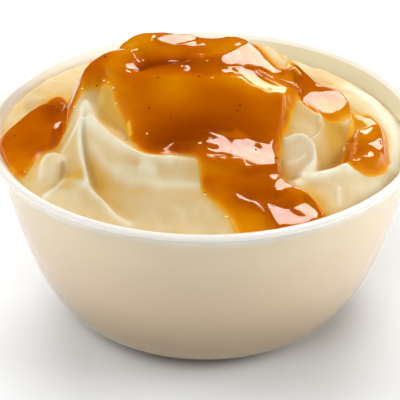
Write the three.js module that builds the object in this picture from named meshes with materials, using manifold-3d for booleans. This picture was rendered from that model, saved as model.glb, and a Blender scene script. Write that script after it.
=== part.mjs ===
// A side dish of mashed potato: a plain glazed bowl, the mash heaped and folded in it, and brown gravy
// poured over the heap. Millimetres, +Z up. The origin is under the middle of the bowl, and -Y is the
// front. Heights are above the surface that the bowl stands on.

import * as THREE from "three";
import { mergeVertices } from "three/addons/utils/BufferGeometryUtils.js";
import Module from "manifold-3d";

const wasm = await Module();
wasm.setup();

// ---------------------------------------------------------------- driving dimensions

const CLEARANCE = 0.4; // between the mash and the bowl
const FILM_GAP = 0.3; // between the gravy and the mash under it

// Bowl: radius and height of the outer face, from the foot up to the lip, and of the inner face, back down.
const FOOT_RECESS = { radius: 28, depth: 1 };
const FOOT_RING = [
  [29, 0],
  [34.2, 0],
];
const OUTER_FACE = [
  [34.9, 0.4],
  [39.9, 3],
  [45.2, 7.2],
  [50.1, 15],
  [53.8, 24],
  [56.6, 33],
  [58.8, 42],
  [60.6, 51],
  [61.9, 55],
  [63.5, 57.5],
  [64.7, 58.8],
];
const LIP = [
  [64.5, 59.6],
  [63.5, 60],
  [62.4, 59.8],
];
const INNER_FACE = [
  [61.8, 59.2],
  [60.5, 57.6],
  [58.9, 55.1],
  [57.7, 51],
  [55.9, 42.5],
  [53.7, 33.8],
  [51, 25.2],
  [47.4, 16.7],
  [43, 9.7],
  [38.2, 5.9],
  [32, 4.4],
];
const FLOOR_HEIGHT = 4.2;
const BOWL_SIDES = 60;
const PROFILE_STEPS = 11;

// Mash: the low heap that fills the bowl, and the line where it meets the wall.
const BED = { top: 61.3, fall: 1.9, radius: 54 };
const WALL_LINE = { height: 57.6, dip: 3.6, dipAngle: 55, dipSpread: 60, slope: 0.9, round: 3 };
const CREASE = 1; // how far apart in height two folds start to blend
const SIDE_LEVELS = [53.2, 45, 34, 23, 14, 8];
const SHOULDER_CLEARANCE = 0.9; // at the first level, under the flare of the wall
const UNDERSIDE = { radius: 31, height: 4.7 };

// Folds: crests that the spoon left. A point is x, y, height, and then, where it changes along the
// crest, how steeply the fold falls to the left and to the right of its travel. Past its reach a side
// falls away faster.
const FOLDS = {
  backCrest: {
    points: [
      [-23, 1, 82],
      [-18.5, 4, 84.9],
      [-8, 5, 85],
      [0, 4.4, 84],
      [9, 3.6, 84.9],
      [16, 1.6, 84.2],
      [21.5, -0.5, 82.2],
    ],
    slopes: [1.05, 0.28],
    reach: [99, 10],
    round: 4,
    end: 1.2,
  },
  brow: {
    points: [
      [-24, -8, 80],
      [-14, -13, 81.3],
      [-1, -15.5, 82],
      [8, -15.6, 82.4],
      [14, -15.8, 80.7],
      [21, -16.2, 78.6],
      [26, -17.2, 76.4],
    ],
    slopes: [0.1, 0.92],
    reach: [8, 99],
    round: 3,
    end: 1.2,
  },
  upperLip: {
    points: [
      [-34, -14, 74],
      [-31.5, -22, 73],
      [-25.5, -31, 71.8],
      [-17, -38.2, 70.4],
      [-4, -39.3, 69.8],
      [10, -39, 68.3],
      [21, -34, 67.8],
    ],
    slopes: [0.35, 1.9],
    reach: [6, 99],
    round: 1.5,
    end: 1.2,
  },
  lowerLip: {
    points: [
      [-34, -14, 74, 0.35, 2.2],
      [-31.5, -25.5, 70.3, 0.35, 1.6],
      [-25, -36, 67, 0.35, 1.2],
      [-16, -41.8, 65, 0.35, 0.65],
      [-3, -42.3, 64.3, 0.35, 0.42],
      [10, -42.5, 63.4, 0.35, 0.42],
      [22, -40.2, 62.7, 0.45, 0.42],
      [33, -35, 63.2, 0.9, 0.42],
      [42, -32, 63.4, 0.9, 0.42],
      [53, -25, 60, 0.5, 0.4],
    ],
    reach: [6, 99],
    round: 1.5,
    end: 1.2,
  },
  leftSpine: {
    points: [
      [-34, -14, 74, 1, 2.4],
      [-34.8, -22, 71, 0.8, 1.7],
      [-34.4, -31, 67.8, 0.8, 1.1],
      [-32.6, -40, 63.6, 0.8, 0.6],
      [-27.5, -48, 60.6, 0.6, 0.25],
      [-20.5, -54, 58.2, 0.6, 0.25],
    ],
    reach: [99, 99],
    round: 1.2,
    end: 1.2,
  },
  leftShoulder: {
    points: [
      [-22, -2, 82, 0.4, 1.6],
      [-29, -1, 81.6, 0.15, 2.4],
      [-34.3, -3, 78.8, 0.1, 2.8],
      [-35, -8.5, 76.2, 0.1, 2.8],
      [-34, -14, 74, 0.4, 2.6],
    ],
    reach: [99, 99],
    round: 2.5,
    end: 1.5,
  },
  rightShoulder: {
    points: [
      [18, -4, 82.5, 1.05, 0.35],
      [24, -2.8, 76.4, 0.85, 0.35],
      [31, -3, 72, 0.5, 0.35],
      [38, -3.8, 69.8, 0.42, 0.4],
      [44, -6, 66, 0.42, 0.55],
      [49, -10, 62.8, 0.42, 0.6],
    ],
    reach: [99, 8],
    round: 3,
    end: 1.2,
  },
  rightBuckle: {
    points: [
      [20, -14, 77.5, 0.5, 0.55],
      [25.2, -12.8, 74.8, 0.5, 0.55],
      [29, -12.4, 72.4, 0.5, 0.55],
      [32, -13.4, 70.2, 0.5, 0.6],
    ],
    reach: [99, 5],
    round: 1.2,
    end: 1.5,
  },
};

// Lumps: x, y, height of the top, the two plan radii, the turn in degrees and the height of the lump.
const LUMPS = {
  rolledPetal: [25.6, -31.2, 66, 5.6, 6, 0, 8],
  leftLump: [-42.6, -30.5, 65.2, 4.4, 6.8, 8, 5],
  lowLeftLump: [-39.5, -43.4, 61.6, 9.5, 6.2, -22, 5],
  backRightLump: [45, 10, 62.8, 13, 9, 70, 4],
  backLump: [36, 26, 62.8, 14, 8, 140, 4],
  backLeftLump: [-44, 14, 62.6, 10, 14, 20, 3],
};

// Hollows: x, y, depth and the two plan radii.
const HOLLOWS = {
  leftPocket: [-36.6, -34, 2.6, 2.6, 2.8],
  rightValley: [36, -21, 1.6, 5, 7],
  petalDish: [25.8, -31, 0.8, 3, 3.6],
  topTrough: [-6, -6, 2.2, 13, 4],
  furrow: [20, -11.5, 1, 5, 2],
};

// Places where the mash is pressed flat. A plane is x, y, the height there and the slopes along x and y;
// the rim is the width over which it blends in. Later ones lie on top.
const PRESSED_PLACES = {
  buckleFace: {
    plane: [28, -19, 71.4, -0.38, 0.6],
    rim: 2,
    outline: [
      [23, -15.5],
      [27, -13.6],
      [31, -13],
      [33.2, -15.5],
      [33.2, -19],
      [31, -23],
      [27, -26.5],
      [22, -27],
    ],
  },
  streamBed: {
    plane: [36, -7, 71.3, -0.35, 0.33],
    rim: 2.5,
    outline: [
      [26.5, -12],
      [30, -5.5],
      [37.7, -3],
      [41, -5],
      [42.5, -10],
      [40.5, -13.4],
      [35, -14],
      [29, -14],
    ],
  },
  petalFace: {
    plane: [26, -31, 66.6, 0, 0.75],
    rim: 2,
    outline: [
      [20.5, -31],
      [22, -27.5],
      [26.5, -26],
      [30.4, -28.3],
      [31, -31],
      [30, -34],
      [26.4, -37],
      [21, -37],
    ],
  },
};

// Gravy: its closed edge in plan, anticlockwise from the left end of the heap's back. It fills the
// creases, so its top is the mash with wider creases and a film on it.
const GRAVY_OUTLINE = [
  [-28, 6],
  [-34, 3.4],
  [-39, 4],
  [-43, 12],
  [-48.5, 8.5],
  [-54, 2.5],
  [-60, -4.5],
  [-62, -9],
  [-58, -19],
  [-52, -29],
  [-49, -25],
  [-46, -18.5],
  [-42.4, -19.2],
  [-40, -17],
  [-38.7, -13.8],
  [-36.6, -11.2],
  [-34.4, -10.6],
  [-31, -9.4],
  [-28.6, -9],
  [-26, -16.2],
  [-22.4, -24.5],
  [-20.4, -31],
  [-18.8, -36.4],
  [-14, -38.4],
  [-10.5, -38.2],
  [-7, -35.4],
  [-3.6, -36.8],
  [-2.2, -41],
  [-1.2, -45],
  [2.6, -50],
  [6, -54],
  [9, -60],
  [16, -68],
  [38, -60],
  [34, -50],
  [28.5, -43.5],
  [23.4, -40.8],
  [21.6, -36],
  [21.2, -30],
  [23.4, -23],
  [25.4, -17],
  [27, -14.2],
  [30, -14],
  [33, -14.6],
  [36.6, -13.6],
  [39.4, -11.8],
  [42, -10.2],
  [40.4, -14.4],
  [39.2, -19],
  [38.6, -25],
  [39, -31],
  [41.4, -33.4],
  [45.4, -32.8],
  [48.8, -30.4],
  [51.6, -26],
  [53.2, -18],
  [52.4, -8],
  [49, -3],
  [45.4, -4.4],
  [43.8, -6],
  [42, -3.4],
  [38, -1.2],
  [33, -1.2],
  [29.5, -0.2],
  [26.5, 0.6],
  [24.6, -1.4],
  [22.6, -5.6],
  [20.4, -4],
  [17.4, -0.6],
  [13, 4.5],
  [5, 9],
  [-8, 13],
  [-20, 11],
];
const GRAVY_FILM = 1.1;
const GRAVY_CREASE = 6;
const GRAVY_EDGE_SLOPE = 1.1;
const GRAVY_LEAST_DEPTH = 0.6; // away from the edge
const GRAVY_AT_WALL = { above: 1.6, round: 1.5 }; // over the film on the mash's shoulder

// Pools and thin places: x, y, the two plan radii and the change of depth.
const GRAVY_POOLS = {
  rightBlob: [47, -17, 7, 8, 1.6],
  streamEnd: [47, -6, 5, 5, 0.6],
  leftPool: [-50, -10, 9, 9, 1.4],
  leftShoulder: [-33, -6, 6, 5, 1],
  underTheBrow: [-10, -33, 9, 5, 1],
  shelf: [8, -37, 11, 5, 0.5],
  tongue: [16, -49, 10, 7, 0.7],
  stream: [34, -5, 6, 5, 0.6],
  topLeft: [-18, 3, 7, 5, 0.8],
  poolBack: [-46, 9, 7, 4, -0.8],
};

// Places where the gravy lies flat, given like the flat places of the mash.
const GRAVY_FLATS = {
  trough: {
    plane: [-10, -7, 83.3, 0.04, 0.02],
    rim: 7,
    outline: [
      [-18, -4.5],
      [-12, -4],
      [-4, -4],
      [-3, -8],
      [-5, -12],
      [-12, -12],
      [-18, -10],
    ],
  },
  rise: {
    plane: [0, -7, 83.9, 0.12, 0.06],
    rim: 4,
    outline: [
      [-4, -4],
      [1, -3],
      [5, -3.5],
      [5, -8],
      [7, -12],
      [1, -13],
      [-4, -12],
    ],
  },
  leftShelf: {
    plane: [-10, -34.5, 71.1, 0.1, 0.05],
    rim: 3,
    outline: [
      [-18.5, -31.5],
      [-10, -31],
      [0, -31.5],
      [4, -33],
      [3, -37],
      [-6, -37.8],
      [-18, -37],
    ],
  },
  tongueBed: {
    plane: [14, -48, 62.5, 0.05, 0.56],
    rim: 3,
    outline: [
      [1, -43.5],
      [6, -42],
      [22.5, -42.5],
      [30, -47],
      [36, -60],
      [12, -61],
      [5, -51],
    ],
  },
  leftPool: {
    plane: [-50, -10, 61.6, 0.2, 0.15],
    rim: 2,
    outline: [
      [-60, -14],
      [-56, -3],
      [-47.5, 5],
      [-42.6, -1],
      [-40.6, -8],
      [-40.6, -14],
      [-46, -19],
      [-51, -27],
      [-57, -22],
    ],
  },
  blobBed: {
    plane: [47, -15, 64.2, 0.15, -0.08],
    rim: 3,
    outline: [
      [42, -12],
      [44, -5.5],
      [50, -4.5],
      [52, -12],
      [52, -21],
      [49.4, -28.6],
      [44.5, -30.4],
      [40.4, -28],
      [40.4, -18],
    ],
  },
  topRight: {
    plane: [12, -5, 84.6, -0.27, 0.27],
    rim: 2,
    outline: [
      [3.7, -10.3],
      [4.8, -7],
      [9.5, -2.4],
      [13.6, 1.2],
      [16.4, -0.3],
      [20.1, -4.5],
      [23.1, -9],
      [13.3, -9.6],
      [5.9, -11.4],
    ],
  },
  wedge: {
    plane: [17, -14, 80.9, -0.29, 0.27],
    rim: 2,
    outline: [
      [7.5, -10.6],
      [12.6, -11.4],
      [16, -12.6],
      [22.6, -14.8],
      [25.8, -18.6],
      [19.7, -18.6],
      [14.6, -17.8],
      [10.4, -15.4],
    ],
  },
  topLeft: {
    plane: [-8, 4, 86.3, -0.3, 0.3],
    rim: 2,
    outline: [
      [-14.4, 1.2],
      [-11.5, 3.5],
      [-4.3, 6.8],
      [-2.3, 4.6],
      [-7.2, 1.1],
      [-12.3, -0.5],
    ],
  },
  shelf: {
    plane: [10.5, -35.5, 69.8, -0.16, 0.21],
    rim: 2,
    outline: [
      [-0.3, -31.9],
      [6, -31.7],
      [8.6, -29.7],
      [14.1, -31],
      [16.9, -30.4],
      [18, -29.6],
      [20.1, -33.3],
      [20.8, -36.9],
      [15.5, -40.3],
      [10.6, -41.5],
      [10.3, -37.7],
      [1.9, -37.5],
      [3, -35.6],
      [0.4, -34.6],
    ],
  },
  tongueEnd: {
    plane: [22, -52, 60.3, -0.16, 0.21],
    rim: 2,
    outline: [
      [16.4, -49.8],
      [19.9, -50.2],
      [23.7, -49.5],
      [26.6, -46.6],
      [28.7, -47.3],
      [31, -51.2],
      [25.3, -56.9],
      [20.2, -58.7],
      [17.9, -55.3],
    ],
  },
  stream: {
    plane: [36, -7, 72.4, -0.35, 0.33],
    rim: 2,
    outline: [
      [28.1, -10.1],
      [29.3, -8.4],
      [31.4, -6.4],
      [37.7, -4.1],
      [39.9, -4.6],
      [41.4, -6.7],
      [42, -11],
      [39, -13.4],
      [35.8, -13],
      [32.8, -14.2],
      [28.6, -11.8],
    ],
  },
};

const RINGS = 27; // rings of the round mesh that carries the mash and the gravy
const CURVE_STEPS = 3; // steps between two points of a crest or an outline

// ---------------------------------------------------------------- curves

const degrees = (angle) => (angle * Math.PI) / 180;

// The larger of two heights, with a rounded crease where they are nearly equal.
function blendUp(a, b, crease) {
  const near = Math.max(crease - Math.abs(a - b), 0) / crease;
  return Math.max(a, b) + (near * near * crease) / 4;
}

function blendDown(a, b, crease) {
  return -blendUp(-a, -b, crease);
}

function cubic(a, b, c, d, t) {
  const square = (2 * a - 5 * b + 4 * c - d) * t * t;
  const cube = (3 * b - a - 3 * c + d) * t * t * t;
  return 0.5 * (2 * b + (c - a) * t + square + cube);
}

// A smooth line through points of any number of coordinates, open or closed.
function smoothLine(points, closed) {
  const count = points.length;
  const last = points[count - 1];
  const before = closed ? last : points[0].map((v, i) => 2 * v - points[1][i]);
  const after = closed ? [points[0], points[1]] : [last.map((v, i) => 2 * v - points[count - 2][i])];
  const all = [before, ...points, ...after];
  const line = [];
  for (let i = 1; i + 2 < all.length; i++) {
    for (let step = 0; step < CURVE_STEPS; step++) {
      const t = step / CURVE_STEPS;
      line.push(all[i].map((v, j) => cubic(all[i - 1][j], v, all[i + 1][j], all[i + 2][j], t)));
    }
  }
  if (!closed) {
    line.push(last);
  }
  return line;
}

// ---------------------------------------------------------------- flat places

// Distance to a closed outline in plan, positive inside it.
function insideBy(outline, x, y) {
  let nearest = Infinity;
  let inside = false;
  outline.forEach(([ax, ay], i) => {
    const [bx, by] = outline[(i + 1) % outline.length];
    const [ex, ey] = [bx - ax, by - ay];
    const t = THREE.MathUtils.clamp(((x - ax) * ex + (y - ay) * ey) / (ex * ex + ey * ey), 0, 1);
    nearest = Math.min(nearest, Math.hypot(x - ax - t * ex, y - ay - t * ey));
    if (ay > y !== by > y && x < (ex * (y - ay)) / ey + ax) {
      inside = !inside;
    }
  });
  return inside ? nearest : -nearest;
}

const smoothOutlines = (table) =>
  Object.values(table).map((place) => ({ ...place, outline: smoothLine(place.outline, true) }));

const pressedPlaces = smoothOutlines(PRESSED_PLACES);
const gravyFlats = smoothOutlines(GRAVY_FLATS);

// A height with the flat places laid in.
function flattened(places, height, x, y) {
  let result = height;
  for (const { plane, rim, outline } of places) {
    const [cx, cy, level, slopeX, slopeY] = plane;
    const flat = level + slopeX * (x - cx) + slopeY * (y - cy);
    const share = THREE.MathUtils.smoothstep(insideBy(outline, x, y), -rim / 2, rim / 2);
    result += share * (flat - result);
  }
  return result;
}

// ---------------------------------------------------------------- mash surface

// Height of a fold over x, y: its crest height, less the fall to the side of it and past its ends.
function foldHeight(fold) {
  const full = fold.points.map((p) => (p.length === 5 ? p : [...p, ...fold.slopes]));
  const crest = smoothLine(full, false);
  return (x, y) => {
    let nearest = Infinity;
    let height = 0;
    for (let i = 0; i + 1 < crest.length; i++) {
      const [from, to] = [crest[i], crest[i + 1]];
      const length = Math.hypot(to[0] - from[0], to[1] - from[1]);
      const [ex, ey] = [(to[0] - from[0]) / length, (to[1] - from[1]) / length];
      const along = (x - from[0]) * ex + (y - from[1]) * ey;
      const across = ex * (y - from[1]) - ey * (x - from[0]);
      const held = Math.min(Math.max(along, 0), length);
      const distance = Math.hypot(along - held, across);
      if (distance >= nearest) {
        continue;
      }
      nearest = distance;
      const beforeStart = i === 0 ? Math.max(-along, 0) : 0;
      const afterEnd = i + 2 === crest.length ? Math.max(along - length, 0) : 0;
      const past = beforeStart + afterEnd;
      const side = across > 0 ? 0 : 1;
      const away = past > 0 ? Math.abs(across) : distance;
      const at = from.map((v, j) => v + ((to[j] - v) * held) / length);
      const slope = at[3 + side];
      const far = Math.max(away - fold.reach[side], 0);
      const fall = slope * (Math.hypot(away, fold.round) - fold.round) + 0.12 * far * far;
      const endFall = fold.end * (Math.hypot(past, fold.round) - fold.round);
      height = at[2] - Math.min(fall + endFall, 60);
    }
    return height;
  };
}

function turned(x, y, turn) {
  const angle = degrees(turn);
  return [x * Math.cos(angle) + y * Math.sin(angle), y * Math.cos(angle) - x * Math.sin(angle)];
}

function lumpHeight([cx, cy, top, radiusX, radiusY, turn, rise]) {
  return (x, y) => {
    const [u, v] = turned(x - cx, y - cy, turn);
    const q = (u / radiusX) ** 2 + (v / radiusY) ** 2;
    return top - rise + rise * Math.sqrt(Math.max(1 - q, 0)) - 2 * rise * Math.max(q - 1, 0);
  };
}

function wallLine(x, y) {
  const angle = Math.atan2(y, x) - degrees(WALL_LINE.dipAngle);
  const turn = THREE.MathUtils.euclideanModulo(angle + Math.PI, 2 * Math.PI) - Math.PI;
  const away = turn / degrees(WALL_LINE.dipSpread);
  return WALL_LINE.height - WALL_LINE.dip * Math.exp(-away * away);
}

const raised = [
  ...Object.values(FOLDS).map(foldHeight),
  ...Object.values(LUMPS).map(lumpHeight),
];

// Top of the mash, with creases as wide as asked for.
function mashTop(x, y, crease = CREASE) {
  const radius = Math.hypot(x, y);
  let height = BED.top - BED.fall * (radius / BED.radius) ** 4;
  for (const part of raised) {
    height = blendUp(height, part(x, y), crease);
  }
  for (const [cx, cy, depth, radiusX, radiusY] of Object.values(HOLLOWS)) {
    height -= depth * Math.exp(-(((x - cx) / radiusX) ** 2) - ((y - cy) / radiusY) ** 2);
  }
  height = flattened(pressedPlaces, height, x, y);
  return blendDown(height, wallShoulder(x, y), WALL_LINE.round);
}

// Height that the food keeps under as it nears the wall.
function wallShoulder(x, y) {
  return wallLine(x, y) + WALL_LINE.slope * (edgeRadius(x, y) - Math.hypot(x, y));
}

// ---------------------------------------------------------------- bowl profile

function spline(points, steps) {
  return new THREE.SplineCurve(points.map(([r, z]) => new THREE.Vector2(r, z))).getPoints(steps);
}

const innerProfile = spline(INNER_FACE, PROFILE_STEPS);

// Radius of the bowl's inner face at a height.
function innerRadius(height) {
  for (let i = 0; i + 1 < innerProfile.length; i++) {
    const [upper, lower] = [innerProfile[i], innerProfile[i + 1]];
    if (height >= lower.y) {
      const share = Math.min((upper.y - height) / (upper.y - lower.y), 1);
      return upper.x + (lower.x - upper.x) * share;
    }
  }
  return innerProfile[innerProfile.length - 1].x;
}

// Radius of the mash where it meets the wall, in the direction of x, y. Its rounded shoulder can be a
// quarter of the rounding lower than the wall line.
function edgeRadius(x, y) {
  return innerRadius(wallLine(x, y) - WALL_LINE.round / 4) - CLEARANCE;
}

// ---------------------------------------------------------------- gravy surface

const gravyEdge = smoothLine(GRAVY_OUTLINE, true);

// Thickness of the gravy, below zero outside it.
function gravyDepth(x, y) {
  const within = insideBy(gravyEdge, x, y);
  if (within < -1.5) {
    return -1.5;
  }
  let top = mashTop(x, y, GRAVY_CREASE) + GRAVY_FILM;
  for (const [cx, cy, radiusX, radiusY, change] of Object.values(GRAVY_POOLS)) {
    top += change * Math.exp(-(((x - cx) / radiusX) ** 2) - ((y - cy) / radiusY) ** 2);
  }
  top = flattened(gravyFlats, top, x, y);
  top = blendDown(top, wallShoulder(x, y) + GRAVY_FILM + GRAVY_AT_WALL.above, GRAVY_AT_WALL.round);
  const full = Math.max(top - mashTop(x, y), GRAVY_LEAST_DEPTH);
  return Math.min(within * GRAVY_EDGE_SLOPE, full);
}

// ---------------------------------------------------------------- meshes

// A solid on a round mesh: ring k has 6k points, and below the last ring come the levels, each a
// [radius, height] with half as many points.
function roundSolid(rings, radiusOf, heightOf, levels, floor) {
  const positions = [];
  const index = [];
  const starts = [];
  const edge = 6 * rings;
  const half = edge / 2;
  for (let ring = 0; ring <= rings; ring++) {
    starts.push(positions.length / 3);
    for (let i = 0; i < Math.max(6 * ring, 1); i++) {
      const angle = ring ? (i / (6 * ring)) * 2 * Math.PI : 0;
      const [dx, dy] = [Math.cos(angle), Math.sin(angle)];
      const radius = radiusOf(ring, dx, dy);
      positions.push(radius * dx, radius * dy, heightOf(radius * dx, radius * dy));
    }
  }
  for (let ring = 0; ring < rings; ring++) {
    const inner = (i) => starts[ring] + (ring ? i % (6 * ring) : 0);
    const outer = (i) => starts[ring + 1] + (i % (6 * (ring + 1)));
    for (let sector = 0; sector < 6; sector++) {
      for (let i = 0; i <= ring; i++) {
        const [a, b] = [sector * ring + i, sector * (ring + 1) + i];
        index.push(inner(a), outer(b), outer(b + 1));
        if (i < ring) {
          index.push(inner(a), outer(b + 1), inner(a + 1));
        }
      }
    }
  }
  let above = (i) => starts[rings] + (i % edge);
  levels.forEach(([radius, height], level) => {
    const start = positions.length / 3;
    for (let i = 0; i < half; i++) {
      const angle = (i / half) * 2 * Math.PI;
      positions.push(radius * Math.cos(angle), radius * Math.sin(angle), height);
    }
    const below = (i) => start + (i % half);
    for (let i = 0; i < half; i++) {
      if (level === 0) {
        index.push(above(2 * i), below(i), above(2 * i + 1));
        index.push(above(2 * i + 1), below(i), below(i + 1));
        index.push(above(2 * i + 1), below(i + 1), above(2 * i + 2));
      } else {
        index.push(above(i), below(i), below(i + 1));
        index.push(above(i), below(i + 1), above(i + 1));
      }
    }
    above = below;
  });
  const bottom = positions.length / 3;
  positions.push(0, 0, floor);
  for (let i = 0; i < half; i++) {
    index.push(bottom, above(i + 1), above(i));
  }
  const geometry = new THREE.BufferGeometry();
  geometry.setAttribute("position", new THREE.Float32BufferAttribute(positions, 3));
  geometry.setIndex(index);
  return geometry;
}

function bowlGeometry() {
  const profile = [
    new THREE.Vector2(0, FOOT_RECESS.depth),
    new THREE.Vector2(FOOT_RECESS.radius, FOOT_RECESS.depth),
    ...FOOT_RING.map(([r, z]) => new THREE.Vector2(r, z)),
    ...spline(OUTER_FACE, PROFILE_STEPS),
    ...LIP.map(([r, z]) => new THREE.Vector2(r, z)),
    ...innerProfile,
    new THREE.Vector2(0, FLOOR_HEIGHT),
  ];
  return new THREE.LatheGeometry(profile, BOWL_SIDES).rotateX(Math.PI / 2);
}

const mashRing = (ring, dx, dy) => (Math.min(ring, RINGS) / RINGS) * edgeRadius(dx, dy);

function mashGeometry() {
  const levels = SIDE_LEVELS.map((height, i) => {
    const clearance = i ? CLEARANCE : SHOULDER_CLEARANCE;
    return [innerRadius(height) - clearance, height];
  });
  levels.push([UNDERSIDE.radius, UNDERSIDE.height]);
  return roundSolid(RINGS, mashRing, mashTop, levels, UNDERSIDE.height);
}

function toManifold(geometry) {
  geometry.deleteAttribute("normal");
  geometry.deleteAttribute("uv");
  const merged = mergeVertices(geometry, 1e-4);
  const mesh = new wasm.Mesh({
    numProp: 3,
    vertProperties: new Float32Array(merged.attributes.position.array),
    triVerts: new Uint32Array(merged.index.array),
  });
  return new wasm.Manifold(mesh);
}

function toGeometry(manifold) {
  const mesh = manifold.getMesh();
  const geometry = new THREE.BufferGeometry();
  geometry.setAttribute("position", new THREE.BufferAttribute(mesh.vertProperties, 3));
  geometry.setIndex(new THREE.BufferAttribute(mesh.triVerts, 1));
  geometry.computeVertexNormals();
  return geometry;
}

// The gravy is what is left of a raised copy of the mash when the mash and its gap are cut from it.
function gravyGeometry() {
  const over = (x, y) => mashTop(x, y) + FILM_GAP;
  const poured = (x, y) => over(x, y) + gravyDepth(x, y);
  const widerRing = (ring, dx, dy) => mashRing(ring, dx, dy) + (ring > RINGS ? 3 : 0);
  const body = roundSolid(RINGS, mashRing, poured, [[59, 50]], 50);
  const cutter = roundSolid(RINGS + 1, widerRing, over, [[61, 46]], 46);
  return toGeometry(toManifold(body).subtract(toManifold(cutter)));
}

// ---------------------------------------------------------------- the dish

function piece(name, geometry, colour, roughness) {
  const material = new THREE.MeshStandardMaterial({ color: colour, roughness, metalness: 0 });
  const mesh = new THREE.Mesh(geometry, material);
  mesh.name = name;
  return mesh;
}

const dish = new THREE.Group();
dish.add(piece("bowl", bowlGeometry(), 0xf3eee2, 0.2));
dish.add(piece("mashed_potato", mashGeometry(), 0xf3e3b4, 0.6));
dish.add(piece("gravy", gravyGeometry(), 0xb8670c, 0.15));

export default dish;
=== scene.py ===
"""A side of mashed potato with brown gravy in a plain glazed bowl, laid out as an add-on.

Lengths in the tables are millimetres, +Z is up, -Y is the front and the origin is under the middle of
the bowl. The mash and the gravy are surfaces of height over the plan: folds that the spoon left, low
lumps, hollows, flat places, and a shoulder down to the wall.
"""

import bmesh
import bpy
import numpy as np
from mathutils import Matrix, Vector


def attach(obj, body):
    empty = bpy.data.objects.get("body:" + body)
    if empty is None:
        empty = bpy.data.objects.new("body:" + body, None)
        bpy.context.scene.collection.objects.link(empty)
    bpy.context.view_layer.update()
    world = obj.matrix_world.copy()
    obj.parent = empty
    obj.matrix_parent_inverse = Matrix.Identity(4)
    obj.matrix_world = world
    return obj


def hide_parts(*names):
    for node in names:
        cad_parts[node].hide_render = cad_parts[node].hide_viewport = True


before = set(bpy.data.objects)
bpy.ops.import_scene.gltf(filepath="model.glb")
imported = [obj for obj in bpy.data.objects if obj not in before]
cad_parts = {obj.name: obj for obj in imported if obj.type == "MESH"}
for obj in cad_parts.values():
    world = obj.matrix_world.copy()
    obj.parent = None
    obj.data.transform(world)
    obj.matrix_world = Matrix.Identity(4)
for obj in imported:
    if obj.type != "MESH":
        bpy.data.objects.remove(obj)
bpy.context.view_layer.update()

bl_info = {
    "name": "Mashed potato side",
    "version": (1, 0, 0),
    "blender": (4, 5, 0),
    "location": "3D View > Sidebar > Dish",
    "description": "Models a bowl of mashed potato with gravy, on a pale floor in soft light",
    "category": "Add Mesh",
}

MM = 0.001

# Steps from one point of a line to the next when it is drawn smooth.
PROFILE_STEPS = 6
CREST_STEPS = 8
EDGE_STEPS = 6
MARK_STEPS = 4

# -------- bowl tables

# The profile as radius and height: along the foot, up the outside, over the lip and down the inside.
FOOT = [(0, 1), (27.6, 1), (28.3, 0.8), (28.7, 0.3), (29.3, 0), (34, 0)]
OUTER_FACE = [
    (34.9, 0.4), (39.9, 3), (45.2, 7.2), (50.1, 15), (53.8, 24), (56.6, 33), (58.8, 42), (60.6, 51),
    (61.9, 55), (63.5, 57.5), (64.7, 58.8),
]
LIP = [(64.6, 59.5), (63.9, 59.95), (63.1, 60), (62.4, 59.8)]
INNER_FACE = [
    (61.8, 59.2), (60.5, 57.6), (58.9, 55.1), (57.7, 51), (55.9, 42.5), (53.7, 33.8), (51, 25.2),
    (47.4, 16.7), (43, 9.7), (38.2, 5.9), (32, 4.4),
]
FLOOR_HEIGHT = 4.2
# Width over which the inside's cream colour comes in, from left to right across the middle; to the left
# the inside keeps the wall's colours, with the pale band and white lip at the top, as painted light.
PAINTED_LIGHT_INSIDE_FADE = 50
# Height that the wall's colours are spread over, darker at the foot as painted shade, and the pale band
# under the lip, painted light: its colour and how much of it is mixed into the wall's.
PAINTED_SHADING_HEIGHT = 62
PAINTED_LIGHT_BAND_COLOUR = (0.88, 0.76, 0.54)
PAINTED_LIGHT_BAND_SHARE = 0.7

# -------- mash tables

# The width of the creases where forms meet, the bed that they rise from, which falls towards the wall,
# and the line where the mash meets the wall, which dips at one side.
CREASE = 1
BED = {"top": 61.3, "fall": 1.9, "radius": 54}
WALL_LINE = {"height": 57.6, "dip": 3.6, "angle": 55, "spread": 60, "slope": 0.9, "round": 3}

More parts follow.
